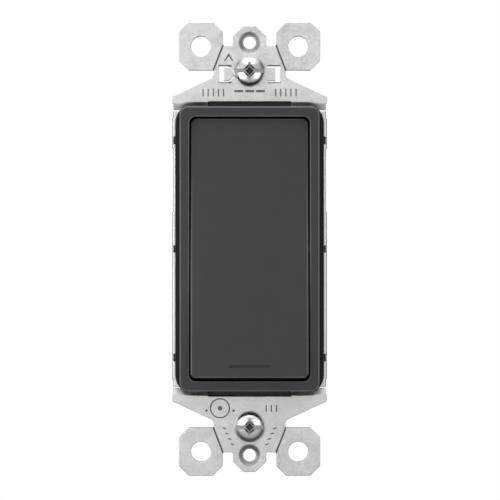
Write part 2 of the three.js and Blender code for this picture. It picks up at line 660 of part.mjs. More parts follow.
// The spring-metal clip that touches the top device screw, so that the screw earths the strap.
function groundClip() {
  const { halfWidth, bottom, top, thickness, holeR } = CLIP;
  const { waistHalfWidth, waistTop, fingerEnd, fingerHalfWidth } = CLIP_SHAPE;
  const front = SEAT;
  const back = SEAT + thickness;
  const waist = block([-waistHalfWidth, front, bottom], [waistHalfWidth, back, top]);
  const wings = block([-halfWidth, front, waistTop], [halfWidth, back, top]);
  const reach = DEVICE_SCREW.shankR + SEAT;
  const finger = block(
    [reach, front, DEVICE_SCREW_Z - fingerHalfWidth],
    [reach + thickness, fingerEnd, DEVICE_SCREW_Z + fingerHalfWidth],
  );
  const hole = barY(holeR, front - PAST, back + PAST, 0, DEVICE_SCREW_Z);
  return waist.add(wings).subtract(hole).add(finger);
}

// ---------- assembly ----------
const rockerSwitch = new THREE.Group();

rockerSwitch.add(
  meshOf("strap", strap(), ZINC),
  meshOf("auto_ground_clip", groundClip(), BRASS),
  meshOf("screw_retainer_top", retainer(1, CLIP_SHAPE.fingerEnd + SEAT), FIBRE),
  meshOf("screw_retainer_bottom", retainer(-1, SEAT), FIBRE),
  meshOf("front_cover", frontCover(), DARK_PLASTIC),
  meshOf("back_body", backBody(), BODY_PLASTIC),
  meshOf("bumper_upper", bumper(1), RUBBER),
  meshOf("bumper_lower", bumper(-1), RUBBER),
  meshOf("line_terminal", lineTerminal(), BRASS),
  meshOf("load_terminal", loadTerminal(), BRASS),
  meshOf("line_pressure_plate", pressurePlate(LINE.screwZ), ZINC),
  meshOf("load_pressure_plate", pressurePlate(LOAD.screwZ), ZINC),
);

const fixedContactBack = LOAD.linkY - SEAT;
const fixedContact = barY(CONTACT.r, fixedContactBack - CONTACT.height, fixedContactBack, 0, CONTACT.z);
rockerSwitch.add(meshOf("fixed_contact", fixedContact, SILVER));

// The paddle rests with its top pressed in; the plunger and its spring ride in its stem.
const paddleGroup = new THREE.Group();
paddleGroup.position.set(0, PIVOT_Y, 0);
paddleGroup.rotation.x = -TILT;
paddleGroup.add(
  meshOf("rocker_paddle", paddle(), DARK_PLASTIC),
  meshOf("plunger", plunger(), ACETAL),
  meshOf("plunger_spring", plungerSpring(), SPRING_STEEL),
);
rockerSwitch.add(paddleGroup);

// The contact arm rests with its lower end back, on the fixed contact.
const armGroup = new THREE.Group();
armGroup.position.set(0, ARM.pivotY, 0);
armGroup.rotation.x = TILT * ARM_RATIO;
const contactFront = ARM.thickness / 2 + SEAT;
const movingContact = barY(CONTACT.r, contactFront, contactFront + CONTACT.height, 0, CONTACT.z);
armGroup.add(meshOf("contact_arm", contactArm(), BRASS), meshOf("moving_contact", movingContact, SILVER));
rockerSwitch.add(armGroup);

for (const [name, sz] of [["top", 1], ["bottom", -1]]) {
  const screw = meshOf(`mounting_screw_${name}`, deviceScrew(), NICKEL);
  screw.position.set(0, -SHEET - SEAT, sz * DEVICE_SCREW_Z);
  rockerSwitch.add(screw);
}

for (const [name, z] of [["line", LINE.screwZ], ["load", LOAD.screwZ]]) {
  const screw = meshOf(`${name}_terminal_screw`, terminalScrew(), BRASS);
  screw.position.set(TERMINAL_SCREW.seatX, TERMINAL_SCREW.y, z);
  screw.rotation.z = Math.PI / 2;
  rockerSwitch.add(screw);
}

const groundScrew = meshOf("ground_screw", terminalScrew(), GREEN_PLATING);
groundScrew.position.set(GROUND_TAB.screwX, GROUND_TAB.screwY, -WINDOW.slotHalfHeight - SHEET - SEAT);
groundScrew.rotation.x = Math.PI / 2;
rockerSwitch.add(groundScrew);

export default rockerSwitch;
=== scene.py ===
"""A decorator-style rocker wall switch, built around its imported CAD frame.

Shapes are drawn in millimetres, in the frame of the CAD model (X right, Z up, front towards -Y),
and scaled to metres as each piece is finished.
"""
import json
import math

import bmesh
import bpy
from mathutils import Matrix, Vector


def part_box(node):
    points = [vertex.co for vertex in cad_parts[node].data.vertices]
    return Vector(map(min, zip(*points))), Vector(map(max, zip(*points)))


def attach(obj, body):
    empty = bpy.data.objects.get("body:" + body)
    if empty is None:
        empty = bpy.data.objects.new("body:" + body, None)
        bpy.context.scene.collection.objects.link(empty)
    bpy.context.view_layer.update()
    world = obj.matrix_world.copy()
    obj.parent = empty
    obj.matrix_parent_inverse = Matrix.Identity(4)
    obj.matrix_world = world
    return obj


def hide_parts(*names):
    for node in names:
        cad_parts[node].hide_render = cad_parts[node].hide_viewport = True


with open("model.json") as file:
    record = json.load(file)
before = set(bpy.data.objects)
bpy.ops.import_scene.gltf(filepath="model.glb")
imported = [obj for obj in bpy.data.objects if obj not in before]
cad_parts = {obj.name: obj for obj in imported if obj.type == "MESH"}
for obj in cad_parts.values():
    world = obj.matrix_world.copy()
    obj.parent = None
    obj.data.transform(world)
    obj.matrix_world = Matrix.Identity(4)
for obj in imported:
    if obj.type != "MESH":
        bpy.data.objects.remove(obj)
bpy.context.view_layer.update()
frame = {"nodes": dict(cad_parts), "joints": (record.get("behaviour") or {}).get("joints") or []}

MM = 0.001
scene = bpy.context.scene


# ---------- sizes taken from the frame ----------
def corners(node):
    """Lowest and highest corner of a CAD node in millimetres."""
    low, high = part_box(node)
    return low / MM, high / MM


STRAP_LOW, STRAP_HIGH = corners("strap")
SCREW_LOW, SCREW_HIGH = corners("mounting_screw_top")
ROCKER_JOINT = next(j for j in frame["joints"] if j["name"] == "rocker_tilt")
SHEET = -STRAP_LOW.y  # thickness of the strap's sheet
HALF_WIDTH = STRAP_HIGH.x
HALF_HEIGHT = STRAP_HIGH.z
FLANGE_BACK = 4.5  # how far the bent rails reach behind the wall plane
FACE_Y = corners("front_cover")[0].y
DEVICE_SCREW_Z = (SCREW_LOW.z + SCREW_HIGH.z) / 2
PLATE_SCREW_Z = 48.42
PIVOT_Y = ROCKER_JOINT["pos_m"][1] / MM
TILT = math.radians(ROCKER_JOINT["range_deg"][1] / 2)
HOOK_PLACES = (-25.5, 0.0, 25.5)  # heights of the cover's snap hooks
RIGHT_ANGLE = math.pi / 2


# ---------- outlines in (x, z) ----------
def rounded(half_width, half_height, r, x=0.0, z=0.0, steps=8):
    """Corners of a rounded rectangle, anticlockwise."""
    points = []
    for i, (sx, sz) in enumerate([(1, 1), (-1, 1), (-1, -1), (1, -1)]):
        for k in range(steps + 1):
            a = RIGHT_ANGLE * (i + k / steps)
            points.append((x + sx * (half_width - r) + r * math.cos(a),
                           z + sz * (half_height - r) + r * math.sin(a)))
    return points


def circle(r, x=0.0, z=0.0, steps=48):
    turns = (2 * math.pi * k / steps for k in range(steps))
    return [(x + r * math.cos(a), z + r * math.sin(a)) for a in turns]


def filleted(points):
    """A polygon given as (x, z, radius) corners, with each corner rounded."""
    most, least, steps = 0.49, 1e-4, 4  # share of a side that a corner may take, smallest corner, steps
    out = []
    for i, (x, z, r) in enumerate(points):
        p = Vector((x, z))
        a = Vector(points[i - 1][:2]) - p
        b = Vector(points[(i + 1) % len(points)][:2]) - p
        half = a.angle(b) / 2
        reach = min(r / math.tan(half), most * a.length, most * b.length)
        if reach < least:
            out.append((x, z))
            continue
        a.normalize()
        b.normalize()
        true_r = reach * math.tan(half)
        centre = p + (a + b).normalized() * (true_r / math.sin(half))
        start, end = p + a * reach - centre, p + b * reach - centre
        a0 = math.atan2(start.y, start.x)
        sweep = (math.atan2(end.y, end.x) - a0 + math.pi) % (2 * math.pi) - math.pi
        for k in range(steps + 1):
            t = a0 + sweep * k / steps
            out.append((centre.x + true_r * math.cos(t), centre.y + true_r * math.sin(t)))
    return out


def bar(x0, z0, x1, z1, width):
    """A straight stroke with square ends."""
    along = (Vector((x1, z1)) - Vector((x0, z0))).normalized() * width / 2
    side = Vector((-along.y, along.x))
    ends = [Vector((x0, z0)), Vector((x1, z1))]
    return [tuple(ends[0] - side), tuple(ends[1] - side), tuple(ends[1] + side), tuple(ends[0] + side)]


def wound(points, sense):
    """The outline with its corners anticlockwise (sense 1) or clockwise (sense -1)."""
    pairs = zip(points, points[1:] + points[:1])
    area = sum(a[0] * b[1] - b[0] * a[1] for a, b in pairs)
    return points if area * sense > 0 else points[::-1]


def inset(points, distance):
    """Each corner moved to the left of the way round, so into the material."""
    sharpest = 0.2  # limits the mitre of a sharp corner
    out = []
    for i, p in enumerate(points):
        before = (Vector(p) - Vector(points[i - 1])).normalized()
        after = (Vector(points[(i + 1) % len(points)]) - Vector(p)).normalized()
        n0, n1 = Vector((-before.y, before.x)), Vector((-after.y, after.x))
        middle = n0 + n1
        out.append(tuple(Vector(p) + middle * distance / max(middle.dot(n0), sharpest)))
    return out


# ---------- ways to make a mesh, in millimetres ----------
AXES = {
    "Y": Matrix.Identity(4),
    "X": Matrix(((0, 1, 0, 0), (1, 0, 0, 0), (0, 0, 1, 0), (0, 0, 0, 1))),
    "Z": Matrix(((1, 0, 0, 0), (0, 0, 1, 0), (0, 1, 0, 0), (0, 0, 0, 1))),
}


def shape(bm, matrix=None):
    """A working object from a bmesh, with its faces turned outwards."""
    if matrix is not None:
        bmesh.ops.transform(bm, matrix=matrix, verts=bm.verts)
    bmesh.ops.recalc_face_normals(bm, faces=bm.faces)
    mesh = bpy.data.meshes.new("shape")
    bm.to_mesh(mesh)
    bm.free()
    obj = bpy.data.objects.new("shape", mesh)
    scene.collection.objects.link(obj)
    return obj


def skin(bm, rings, closed=False):
    """Quads between rings of equally many vertices."""
    pairs = list(zip(rings, rings[1:]))
    if closed:
        pairs.append((rings[-1], rings[0]))
    for a, b in pairs:
        for i in range(len(a)):
            j = (i + 1) % len(a)
            bm.faces.new((a[i], a[j], b[j], b[i]))


def quarter_turn(steps):
    return [RIGHT_ANGLE * k / steps for k in range(steps + 1)]


def plate(outline, low, high, holes=(), edge=0.1, axis="Y"):
    """A flat plate with rounded edges. The outline is in (x, z), (y, z) for axis X or (x, y) for axis Z."""
    bm = bmesh.new()
    levels = [(edge * (1 - math.sin(t)), low + edge * (1 - math.cos(t))) for t in quarter_turn(2)]
    levels += [(d, low + high - y) for d, y in reversed(levels)]
    if edge == 0:
        levels = [(0, low), (0, high)]
    first, last = [], []
    for points in [wound(list(outline), 1)] + [wound(list(h), -1) for h in holes]:
        rings = [[bm.verts.new((x, y, z)) for x, z in inset(points, d)] for d, y in levels]
        skin(bm, rings)
        for ring, edges in ((rings[0], first), (rings[-1], last)):
            edges.extend(bm.edges.get((v, ring[i - 1])) for i, v in enumerate(ring))
    for edges in (first, last):
        bmesh.ops.triangle_fill(bm, use_beauty=True, edges=edges)
    return shape(bm, AXES[axis])


def block(low, high, edge):
    """A box between two corners, with rounded edges."""
    (x0, y0, z0), (x1, y1, z1) = low, high
    bm = bmesh.new()
    size = (abs(x1 - x0), abs(y1 - y0), abs(z1 - z0))
    middle = ((x0 + x1) / 2, (y0 + y1) / 2, (z0 + z1) / 2)
    bmesh.ops.create_cube(bm, size=1, matrix=Matrix.LocRotScale(middle, None, size))
    if edge > 0:
        bmesh.ops.bevel(bm, geom=bm.edges[:], offset=edge, segments=2, profile=0.5, affect="EDGES")
    return shape(bm)


def lathe(profile, steps=48, matrix=None):
    """A solid of revolution about Y. The profile's (radius, y) points start and end on the axis."""
    bm = bmesh.new()
    rings = []
    for r, y in profile[1:-1]:
        rings.append([bm.verts.new((x, y, z)) for x, z in circle(r, steps=steps)])
    skin(bm, rings)
    for ring, (_, y) in ((rings[0], profile[0]), (rings[-1], profile[-1])):
        tip = bm.verts.new((0, y, 0))
        for i, v in enumerate(ring):
            bm.faces.new((v, ring[i - 1], tip))
    return shape(bm, matrix)


def bore(r, low, high, matrix=None, steps=32):
    """A round cutter along Y, or along what the matrix turns Y into."""
    return lathe([(0, low), (r, low), (r, high), (0, high)], steps, matrix)


def lofted(sections, steps, closed=False):
    """A shape through rounded rectangles given as (y, half_width, half_height, radius)."""
    bm = bmesh.new()
    rings = []
    for y, half_width, half_height, r in sections:
        ring = rounded(half_width, half_height, r, steps=steps)
        rings.append([bm.verts.new((x, y, z)) for x, z in ring])
    skin(bm, rings, closed)
    if not closed:
        bm.faces.new(rings[0])
        bm.faces.new(rings[-1])
    return shape(bm)


def combine(obj, tools, operation):
    """obj with the tools cut away, joined on or kept in common. The tools are used up."""
    for tool in tools:
        mod = obj.modifiers.new("tool", "BOOLEAN")
        mod.object = tool
        mod.operation = operation
        mod.solver = "MANIFOLD"
    bpy.context.view_layer.update()
    mesh = bpy.data.meshes.new_from_object(obj.evaluated_get(bpy.context.evaluated_depsgraph_get()))
    obj.modifiers.clear()
    obj.data = mesh
    for tool in tools:
        bpy.data.objects.remove(tool)
    return obj


def cut(obj, *tools):
    return combine(obj, tools, "DIFFERENCE")


def join(obj, *tools):
    return combine(obj, tools, "UNION")


def moved(obj, matrix):
    obj.data.transform(matrix)
    return obj


def finish(obj, name, body, materials, nodes, sharp=34):
    """Scales a working object to metres, gives it its materials, shades it smooth, puts it on its body and
    hides the CAD nodes it replaces.
    """
    mesh = obj.data
    mesh.transform(Matrix.Scale(MM, 4))
    obj.name = mesh.name = name
    slots = [poly.material_index for poly in mesh.polygons]
    mesh.materials.clear()
    for m in materials:
        mesh.materials.append(m)
    mesh.polygons.foreach_set("material_index", [min(i, len(materials) - 1) for i in slots])
    mesh.shade_smooth()
    mesh.set_sharp_from_angle(angle=math.radians(sharp))
    obj.modifiers.new("normals", "WEIGHTED_NORMAL").keep_sharp = True
    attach(obj, body)
    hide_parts(*nodes)


# ---------- materials ----------
class Graph:
    """A short way to add shader nodes."""

    def __init__(self, tree):
        self.tree = tree
        tree.nodes.clear()

    def add(self, kind, inputs=None, **settings):
        node = self.tree.nodes.new(kind)
        for key, value in settings.items():
            setattr(node, key, value)
        for key, value in (inputs or {}).items():
            if isinstance(value, bpy.types.NodeSocket):
                self.tree.links.new(value, node.inputs[key])
            else:
                node.inputs[key].default_value = value
        return node

    def noise(self, place, scale, detail, roughness):
        inputs = {"Vector": place, "Scale": scale, "Detail": detail, "Roughness": roughness}
        return self.add("ShaderNodeTexNoise", inputs).outputs["Fac"]

    def remap(self, value, low, high, to_low, to_high, smooth=False):
        inputs = {"Value": value, "From Min": low, "From Max": high, "To Min": to_low, "To Max": to_high}
        kind = "SMOOTHSTEP" if smooth else "LINEAR"
        return self.add("ShaderNodeMapRange", inputs, interpolation_type=kind).outputs["Result"]

    def mix(self, factor, a, b):
        node = self.add("ShaderNodeMix", data_type="RGBA")
        for socket, value in ((node.inputs[0], factor), (node.inputs[6], a), (node.inputs[7], b)):
            if isinstance(value, bpy.types.NodeSocket):
                self.tree.links.new(value, socket)
            else:
                socket.default_value = value
        return node.outputs[2]

    def math(self, operation, a, b):
        return self.add("ShaderNodeMath", {0: a, 1: b}, operation=operation).outputs[0]


def rgba(r, g, b):
    return (r, g, b, 1.0)


def surface(name, dark, light, rough, metallic=0.0, mottle=180.0, grain=2500.0, grain_depth=0.004,
            stretch=(1.0, 1.0, 1.0), edge_wear_and_sheen=0.0, worn_and_sheen_colour=None, **shader):
    """A solid material: two mottled shades, roughness between two values, fine grain and lighter convex
    edges, partly rubbed and partly a painted highlight.

    mottle and grain are noise scales for each metre, and grain_depth is in millimetres.
    """
    material = bpy.data.materials.new(name + "_finish")
    material.use_nodes = True
    g = Graph(material.node_tree)
    place = g.add("ShaderNodeTexCoord").outputs["Object"]
    stretched = g.add("ShaderNodeMapping", {"Vector": place, "Scale": stretch}).outputs["Vector"]
    broad = g.noise(place, mottle, 4.0, 0.6)
    fine = g.noise(stretched, grain, 2.0, 0.55)
    blend = g.math("ADD", g.math("MULTIPLY", broad, 0.55), g.math("MULTIPLY", fine, 0.45))
    colour = g.mix(g.remap(blend, 0.36, 0.64, 0.0, 1.0), dark, light)
    roughness = g.remap(g.math("ADD", broad, fine), 0.8, 1.2, rough[0], rough[1])
    # Lighter, smoother convex edges: partly rubbing, partly a painted highlight.
    if edge_wear_and_sheen > 0:
        point = g.add("ShaderNodeNewGeometry").outputs["Pointiness"]
        edge = g.remap(point, 0.52, 0.6, 0.0, edge_wear_and_sheen)
        edge = g.math("MULTIPLY", edge, g.remap(broad, 0.35, 0.6, 0.3, 1.0))
        colour = g.mix(edge, colour, worn_and_sheen_colour or light)
        roughness = g.math("SUBTRACT", roughness, g.math("MULTIPLY", edge, 0.1))
    bump = g.add("ShaderNodeBump", {"Height": fine, "Strength": 0.6, "Distance": grain_depth * MM})
    inputs = {"Base Color": colour, "Roughness": roughness, "Metallic": metallic,
              "Normal": bump.outputs["Normal"], **shader}
    bsdf = g.add("ShaderNodeBsdfPrincipled", inputs)
    g.add("ShaderNodeOutputMaterial", {"Surface": bsdf.outputs["BSDF"]})
    return material


ZINC = surface("zinc_plate", rgba(0.60, 0.60, 0.588), rgba(0.68, 0.68, 0.665), (0.36, 0.5), 1.0,
               mottle=260, grain=1500, grain_depth=0.01)
# Painted shade: much darker zinc on the countersinks round the plate screws' holes.
ZINC_SINK_SHADE = surface("zinc_sink_painted_shade", rgba(0.24, 0.24, 0.24), rgba(0.34, 0.34, 0.335), (0.4, 0.5), 1.0)
# Painted shade: dark zinc on the floors of the stamped marks and in the hooks' notches.
ZINC_GROOVE_SHADE = surface("zinc_groove_painted_shade", rgba(0.12, 0.12, 0.12), rgba(0.19, 0.19, 0.19), (0.6, 0.7), 0.6,
                    grain=4000)
NICKEL = surface("nickel_plate", rgba(0.62, 0.62, 0.625), rgba(0.71, 0.71, 0.715), (0.17, 0.26), 1.0,
                 grain=1800, grain_depth=0.004)
# Painted shade: darker nickel in the screw head's drive recess, and near black in its square well.
SCREW_RECESS_SHADE = surface("screw_recess_painted_shade", rgba(0.32, 0.32, 0.325), rgba(0.42, 0.42, 0.425), (0.34, 0.44), 1.0,
                 grain=3000)
SCREW_WELL_SHADE = surface("screw_well_painted_shade", rgba(0.05, 0.05, 0.052), rgba(0.09, 0.09, 0.092), (0.5, 0.6),
                       0.6, grain=3000)
PADDLE = surface("paddle_plastic", rgba(0.0165, 0.017, 0.0195), rgba(0.019, 0.0195, 0.0225), (0.4, 0.46),
                 grain=5200, grain_depth=0.003)
# Painted highlight: a lighter, glossier copy of the paddle plastic on its rounded edge.
PADDLE_EDGE_HIGHLIGHT = surface("paddle_edge_painted_highlight", rgba(0.07, 0.071, 0.075), rgba(0.09, 0.091, 0.095), (0.3, 0.36),
                      grain=5200)
BEZEL = surface("bezel_plastic", rgba(0.016, 0.0165, 0.0185), rgba(0.0185, 0.019, 0.0215), (0.36, 0.42),
                grain=5200, grain_depth=0.003)
# Painted highlight: a lighter, glossier copy of the bezel plastic on its rounded edges.
BEZEL_EDGE_HIGHLIGHT = surface("bezel_edge_painted_highlight", rgba(0.085, 0.086, 0.09), rgba(0.11, 0.111, 0.115), (0.3, 0.36),
                     grain=5200)
# Painted shade: a darker copy of the bezel plastic on the outer wall, also less shiny.
BEZEL_WALL_SHADE = surface("bezel_wall_painted_shade", rgba(0.0125, 0.013, 0.0145), rgba(0.015, 0.0155, 0.017), (0.6, 0.7),
                     grain=5200, grain_depth=0.003, **{"Specular IOR Level": 0.15})
MARK = surface("moulded_mark", rgba(0.006, 0.006, 0.007), rgba(0.009, 0.009, 0.011), (0.6, 0.7), grain=5200)
# The body's lighter edges are partly rubbing and partly a painted highlight.
BODY = surface("body_plastic", rgba(0.014, 0.0145, 0.016), rgba(0.022, 0.0225, 0.025), (0.48, 0.6),
               mottle=120, grain=2600, grain_depth=0.012, edge_wear_and_sheen=0.3, worn_and_sheen_colour=rgba(0.05, 0.05, 0.055))
BRASS = surface("brass", rgba(0.58, 0.4, 0.16), rgba(0.72, 0.53, 0.25), (0.22, 0.38), 1.0, mottle=300,
                stretch=(1, 1, 0.12), grain_depth=0.006)
SILVER = surface("silver_contact", rgba(0.7, 0.7, 0.68), rgba(0.82, 0.82, 0.8), (0.25, 0.4), 1.0, mottle=600)
SPRING = surface("spring_steel", rgba(0.36, 0.36, 0.37), rgba(0.48, 0.48, 0.49), (0.25, 0.35), 1.0,
                 mottle=500)
# The earth screw's lighter edges are partly rubbing and partly a painted highlight.
GREEN = surface("green_plate", rgba(0.02, 0.14, 0.05), rgba(0.04, 0.24, 0.09), (0.28, 0.42), 0.85, mottle=400,
                edge_wear_and_sheen=0.5, worn_and_sheen_colour=rgba(0.25, 0.35, 0.22))
FIBRE = surface("fibre", rgba(0.28, 0.17, 0.085), rgba(0.46, 0.3, 0.16), (0.8, 0.92), mottle=900, grain=5000,
                grain_depth=0.03, stretch=(1, 1, 0.3))
RUBBER = surface("rubber", rgba(0.012, 0.012, 0.012), rgba(0.022, 0.022, 0.022), (0.75, 0.9), grain=3000,
                 grain_depth=0.02)
PALE_FLOOR = surface("pale_floor", rgba(0.74, 0.74, 0.73), rgba(0.78, 0.78, 0.77), (0.6, 0.7), grain=600)
ACETAL = surface("acetal", rgba(0.72, 0.7, 0.64), rgba(0.8, 0.78, 0.73), (0.35, 0.5), mottle=200)


# ---------- strap ----------
BEND = {"start": 16.5, "step": 0.25, "outer_r": 0.38, "inner_r": 0.15, "straight": 2.0}
RELIEF = {"low": 32.4, "high": 32.68}  # slot between the bent flange and the flat shoulder
SETBACK = 0.6  # how far the middle of the strap is stepped back
STEP = {"foot": 33.45, "head": 34.45, "foot_drop": 0.9, "head_drop": 0.25, "corner": 14.2, "across": 1.6}
WAIST = {"low": 8.65, "high": 23.75, "end": 30.55, "ease": 0.3, "depth": 0.25, "across": 0.6}
NOTCH = {"inner": 16.35, "hole": 17.72, "front": 17.9, "depth": 0.9, "half": 0.9}
EAR = {"inner": 6.3, "outer": 16.55, "bottom": 41.9, "chamfer": 2.3, "hole": (11.4, 47.55, 2.35)}
NECK = 8.45
TONGUE = {"half": 3.9, "bottom": 47.7, "side": 49.9, "tip": (1.4, 52.3)}
PLATE_HOLE_R = 1.47
DEVICE_SLOT = (3.3, 1.95, 1.94)
TOP_WINDOW = {"outer": 7.17, "inner": 6.0, "slit": 4.2, "top": 42.9, "bottom": 39.1, "width": 0.3}
TAB = {"left": -9.9, "right": -2.8, "front": -0.7, "back": 10.5, "corner": 1.6, "top": -34.55,
       "hole": (-6.2, 6.1), "hole_r": 2.0}
SCORE = {"foot": (8.62, 41.55), "head": (6.1, 48.1), "width": 0.42, "depth": 0.3}
STAMP = {"width": 0.3, "depth": 0.12, "above": 34.7}
ARROW = {"x": -4.9, "z": 44.0}
UPPER_TALLY = {"x": 6.1, "pitch": 1.2, "count": 5, "from": 35.75, "to": 37.55}
LOWER_TALLY = {"x": 3.9, "pitch": 1.2, "count": 3, "from": -36.6, "to": -38.2}
DASH = {"half": 1.05, "pitch": 2.55, "z": 37.0, "width": 0.55}
TICK = {"x": 6.3, "z": -41.9, "across": -0.62, "down": -1.25, "length": (-0.8, -0.3), "count": 4}
DOT = {"r": 0.3, "z": -37.9, "x": (-10.1, -3.75)}
# The shear strips are shallow grooves painted dark: painted shade along the lances' sheared edges.
SHEAR = {"out": 0.05, "past": 0.1, "width": 0.4}  # dark edges above and below the lances
RING = {"at": (-6.93, -37.35), "outer": 2.37, "inner": 2.07, "dot": 0.55}
CLEAR_FRONT, CLEAR_BACK = -2, 9  # past everything on the strap


def flange_path():
    """Front and back points (across, depth) of the bend, one pair for each step of the flat sheet."""
    front, back = [(BEND["start"], 0.0)], [(BEND["start"], SHEET)]
    for a in quarter_turn(6):
        for r, path, at in ((BEND["outer_r"], front, 0.0), (BEND["inner_r"], back, SHEET)):
            path.append((HALF_WIDTH - at - r + r * math.sin(a), at + r - r * math.cos(a)))
    front.append((HALF_WIDTH, BEND["straight"]))
    back.append((HALF_WIDTH - SHEET, BEND["straight"]))
    return front, back


FRONT_PATH, BACK_PATH = flange_path()
BEND_END = BEND["start"] + BEND["step"] * (len(FRONT_PATH) - 1)
FLAT_HALF_WIDTH = BEND_END + FLANGE_BACK + SHEET - SETBACK - BEND["straight"]


def clamp01(t):
    return max(0.0, min(1.0, t))


def smooth(t):
    t = clamp01(t)
    return t * t * (3 - 2 * t)


def set_back(x, z):
    """Depth of the step at a place on the strap: its foot runs further out at the corners."""
    corner = clamp01((abs(x) - STEP["corner"]) / STEP["across"])
    foot, head = STEP["foot"] - STEP["foot_drop"] * corner, STEP["head"] - STEP["head_drop"] * corner
    t = clamp01((head - abs(z)) / (head - foot))
    eased = 0.35  # share of an S curve in the slope
    return SETBACK * (eased * smooth(t) + (1 - eased) * t)


def waist(z):
    """How far the flange is pressed in, from 0 to 1."""
    middle = smooth((z - WAIST["low"]) / WAIST["ease"]) * smooth((WAIST["high"] - z) / WAIST["ease"])
    return max(middle, smooth((abs(z) - WAIST["end"]) / WAIST["ease"]))


def bent(co):
    """A point of the flat sheet, moved to where bending puts it."""
    side = math.copysign(1, co.x)
    x, t = abs(co.x), (co.y + SHEET) / SHEET
    depth = SHEET * t
    if x > BEND["start"] and abs(co.z) < (RELIEF["low"] + RELIEF["high"]) / 2:
        k = (x - BEND["start"]) / BEND["step"]
        i = min(int(k), len(FRONT_PATH) - 2)
        f = min(k - i, 1.0)
        ends = [Vector(p[i]).lerp(Vector(p[i + 1]), f) for p in (FRONT_PATH, BACK_PATH)]
        x_new, depth = ends[0].lerp(ends[1], t)
        depth += max(0.0, x - BEND_END)
        x = x_new - WAIST["depth"] * waist(co.z) * smooth((x_new - BEND["start"]) / WAIST["across"])
    return Vector((side * x, -SHEET + set_back(x, co.z) + depth, co.z))


def mirrored(quarter):
    """A whole outline from its corners in the upper right quarter, in order towards the middle."""
    top = quarter + [(-x, z, r) for x, z, r in reversed(quarter)]
    return filleted(top + [(-x, -z, r) for x, z, r in top])


def strap_outline():
    inner, outer, bottom, chamfer = (EAR[key] for key in ("inner", "outer", "bottom", "chamfer"))
    shoulder = HALF_WIDTH - WAIST["depth"]
    return mirrored([
        (FLAT_HALF_WIDTH, RELIEF["low"], 0.9), (BEND["start"], RELIEF["low"], 0.0),
        (BEND["start"], RELIEF["high"], 0.0), (shoulder, RELIEF["high"], 0.15), (shoulder, 34.0, 0.1),
        (HALF_WIDTH, 34.2, 0.2), (HALF_WIDTH, 35.7, 0.5), (NECK, 40.22, 0.9), (NECK, bottom, 0.1),
        (outer - chamfer, bottom, 0.3), (outer, bottom + chamfer, 0.3), (outer, HALF_HEIGHT - chamfer, 0.3),
        (outer - chamfer, HALF_HEIGHT, 0.3), (inner + chamfer, HALF_HEIGHT, 0.3),
        (inner, HALF_HEIGHT - chamfer, 0.3), (inner, TONGUE["bottom"], 0.45),
        (TONGUE["half"], TONGUE["bottom"], 0.45), (TONGUE["half"], TONGUE["side"], 0.35),
        (*TONGUE["tip"], 0.35),
    ])


def window_outline():
    return mirrored([(15.2, 31.8, 0.6), (9.75, 31.8, 0.3), (9.75, 34.55, 0.25)])


def lance_outlines():
    """The square lance at the right, and the two halves of the round-nosed one at the left."""
    w = TOP_WINDOW
    square = [(w["outer"], w["top"]), (w["slit"], w["top"]), (w["slit"], w["top"] - w["width"]),
              (w["inner"], w["top"] - w["width"]), (w["inner"], w["bottom"] + w["width"]),
              (w["slit"], w["bottom"] + w["width"]), (w["slit"], w["bottom"]), (w["outer"], w["bottom"])]
    middle = (w["top"] + w["bottom"]) / 2
    half = (w["top"] - w["bottom"]) / 2
    nose, gap_angle, steps = -5.5, math.radians(14), 10

    def arc(r, start, end):
        turns = [start + (end - start) * k / steps for k in range(steps + 1)]
        return [(nose + r * math.cos(a), middle + r * math.sin(a)) for a in turns]

    up = RIGHT_ANGLE
    upper = [(-w["outer"], middle), (-w["outer"], w["top"])] + arc(half, up, gap_angle)
    upper += arc(half - w["width"], gap_angle, up) + [(-w["inner"], w["top"] - w["width"])]
    lower = [(-w["inner"], w["bottom"] + w["width"])] + arc(half - w["width"], -up, -gap_angle)
    lower += arc(half, -gap_angle, -up) + [(-w["outer"], w["bottom"])]
    return [square, upper + lower]


def tally(row, side=1):
    """Upright strokes in a row, at one side of the middle."""
    places = [side * (row["x"] + row["pitch"] * k) for k in range(row["count"])]
    return [bar(x, row["from"], x, row["to"], STAMP["width"]) for x in places]


def ticks(side):
    """Short sloping strokes, stepped down along one of the lower score lines."""
    out = []
    across, down = TICK["length"]
    for k in range(TICK["count"]):
        x, z = TICK["x"] + TICK["across"] * k, TICK["z"] + TICK["down"] * k
        out.append(bar(side * x, z, side * (x + across), z + down, STAMP["width"]))
    return out


def marks():
    """Plain stamped marks: an upright arrow, tally strokes, dashes, dots and the lances' sheared edges."""
    arrow = [(-1.1, 0.2), (-0.8, 0.0), (0.0, 1.2), (0.8, 0.0), (1.1, 0.2), (0.0, 1.9)]
    out = [filleted([(ARROW["x"] + x, ARROW["z"] + z, 0.05) for x, z in arrow])]
    for side in (-1, 1):
        out += tally(UPPER_TALLY, side) + ticks(side)
    for x in (-DASH["pitch"], 0.0, DASH["pitch"]):
        out.append(bar(x - DASH["half"], DASH["z"], x + DASH["half"], DASH["z"], DASH["width"]))
    out += tally(LOWER_TALLY) + [circle(DOT["r"], x, DOT["z"], 16) for x in DOT["x"]]
    for side in (-1, 1):
        start, end = side * TOP_WINDOW["slit"], side * (TOP_WINDOW["outer"] + SHEAR["past"])
        for z in (TOP_WINDOW["bottom"] - SHEAR["out"], TOP_WINDOW["top"] + SHEAR["out"]):
            out.append(bar(start, z, end, z, SHEAR["width"]))
    return out


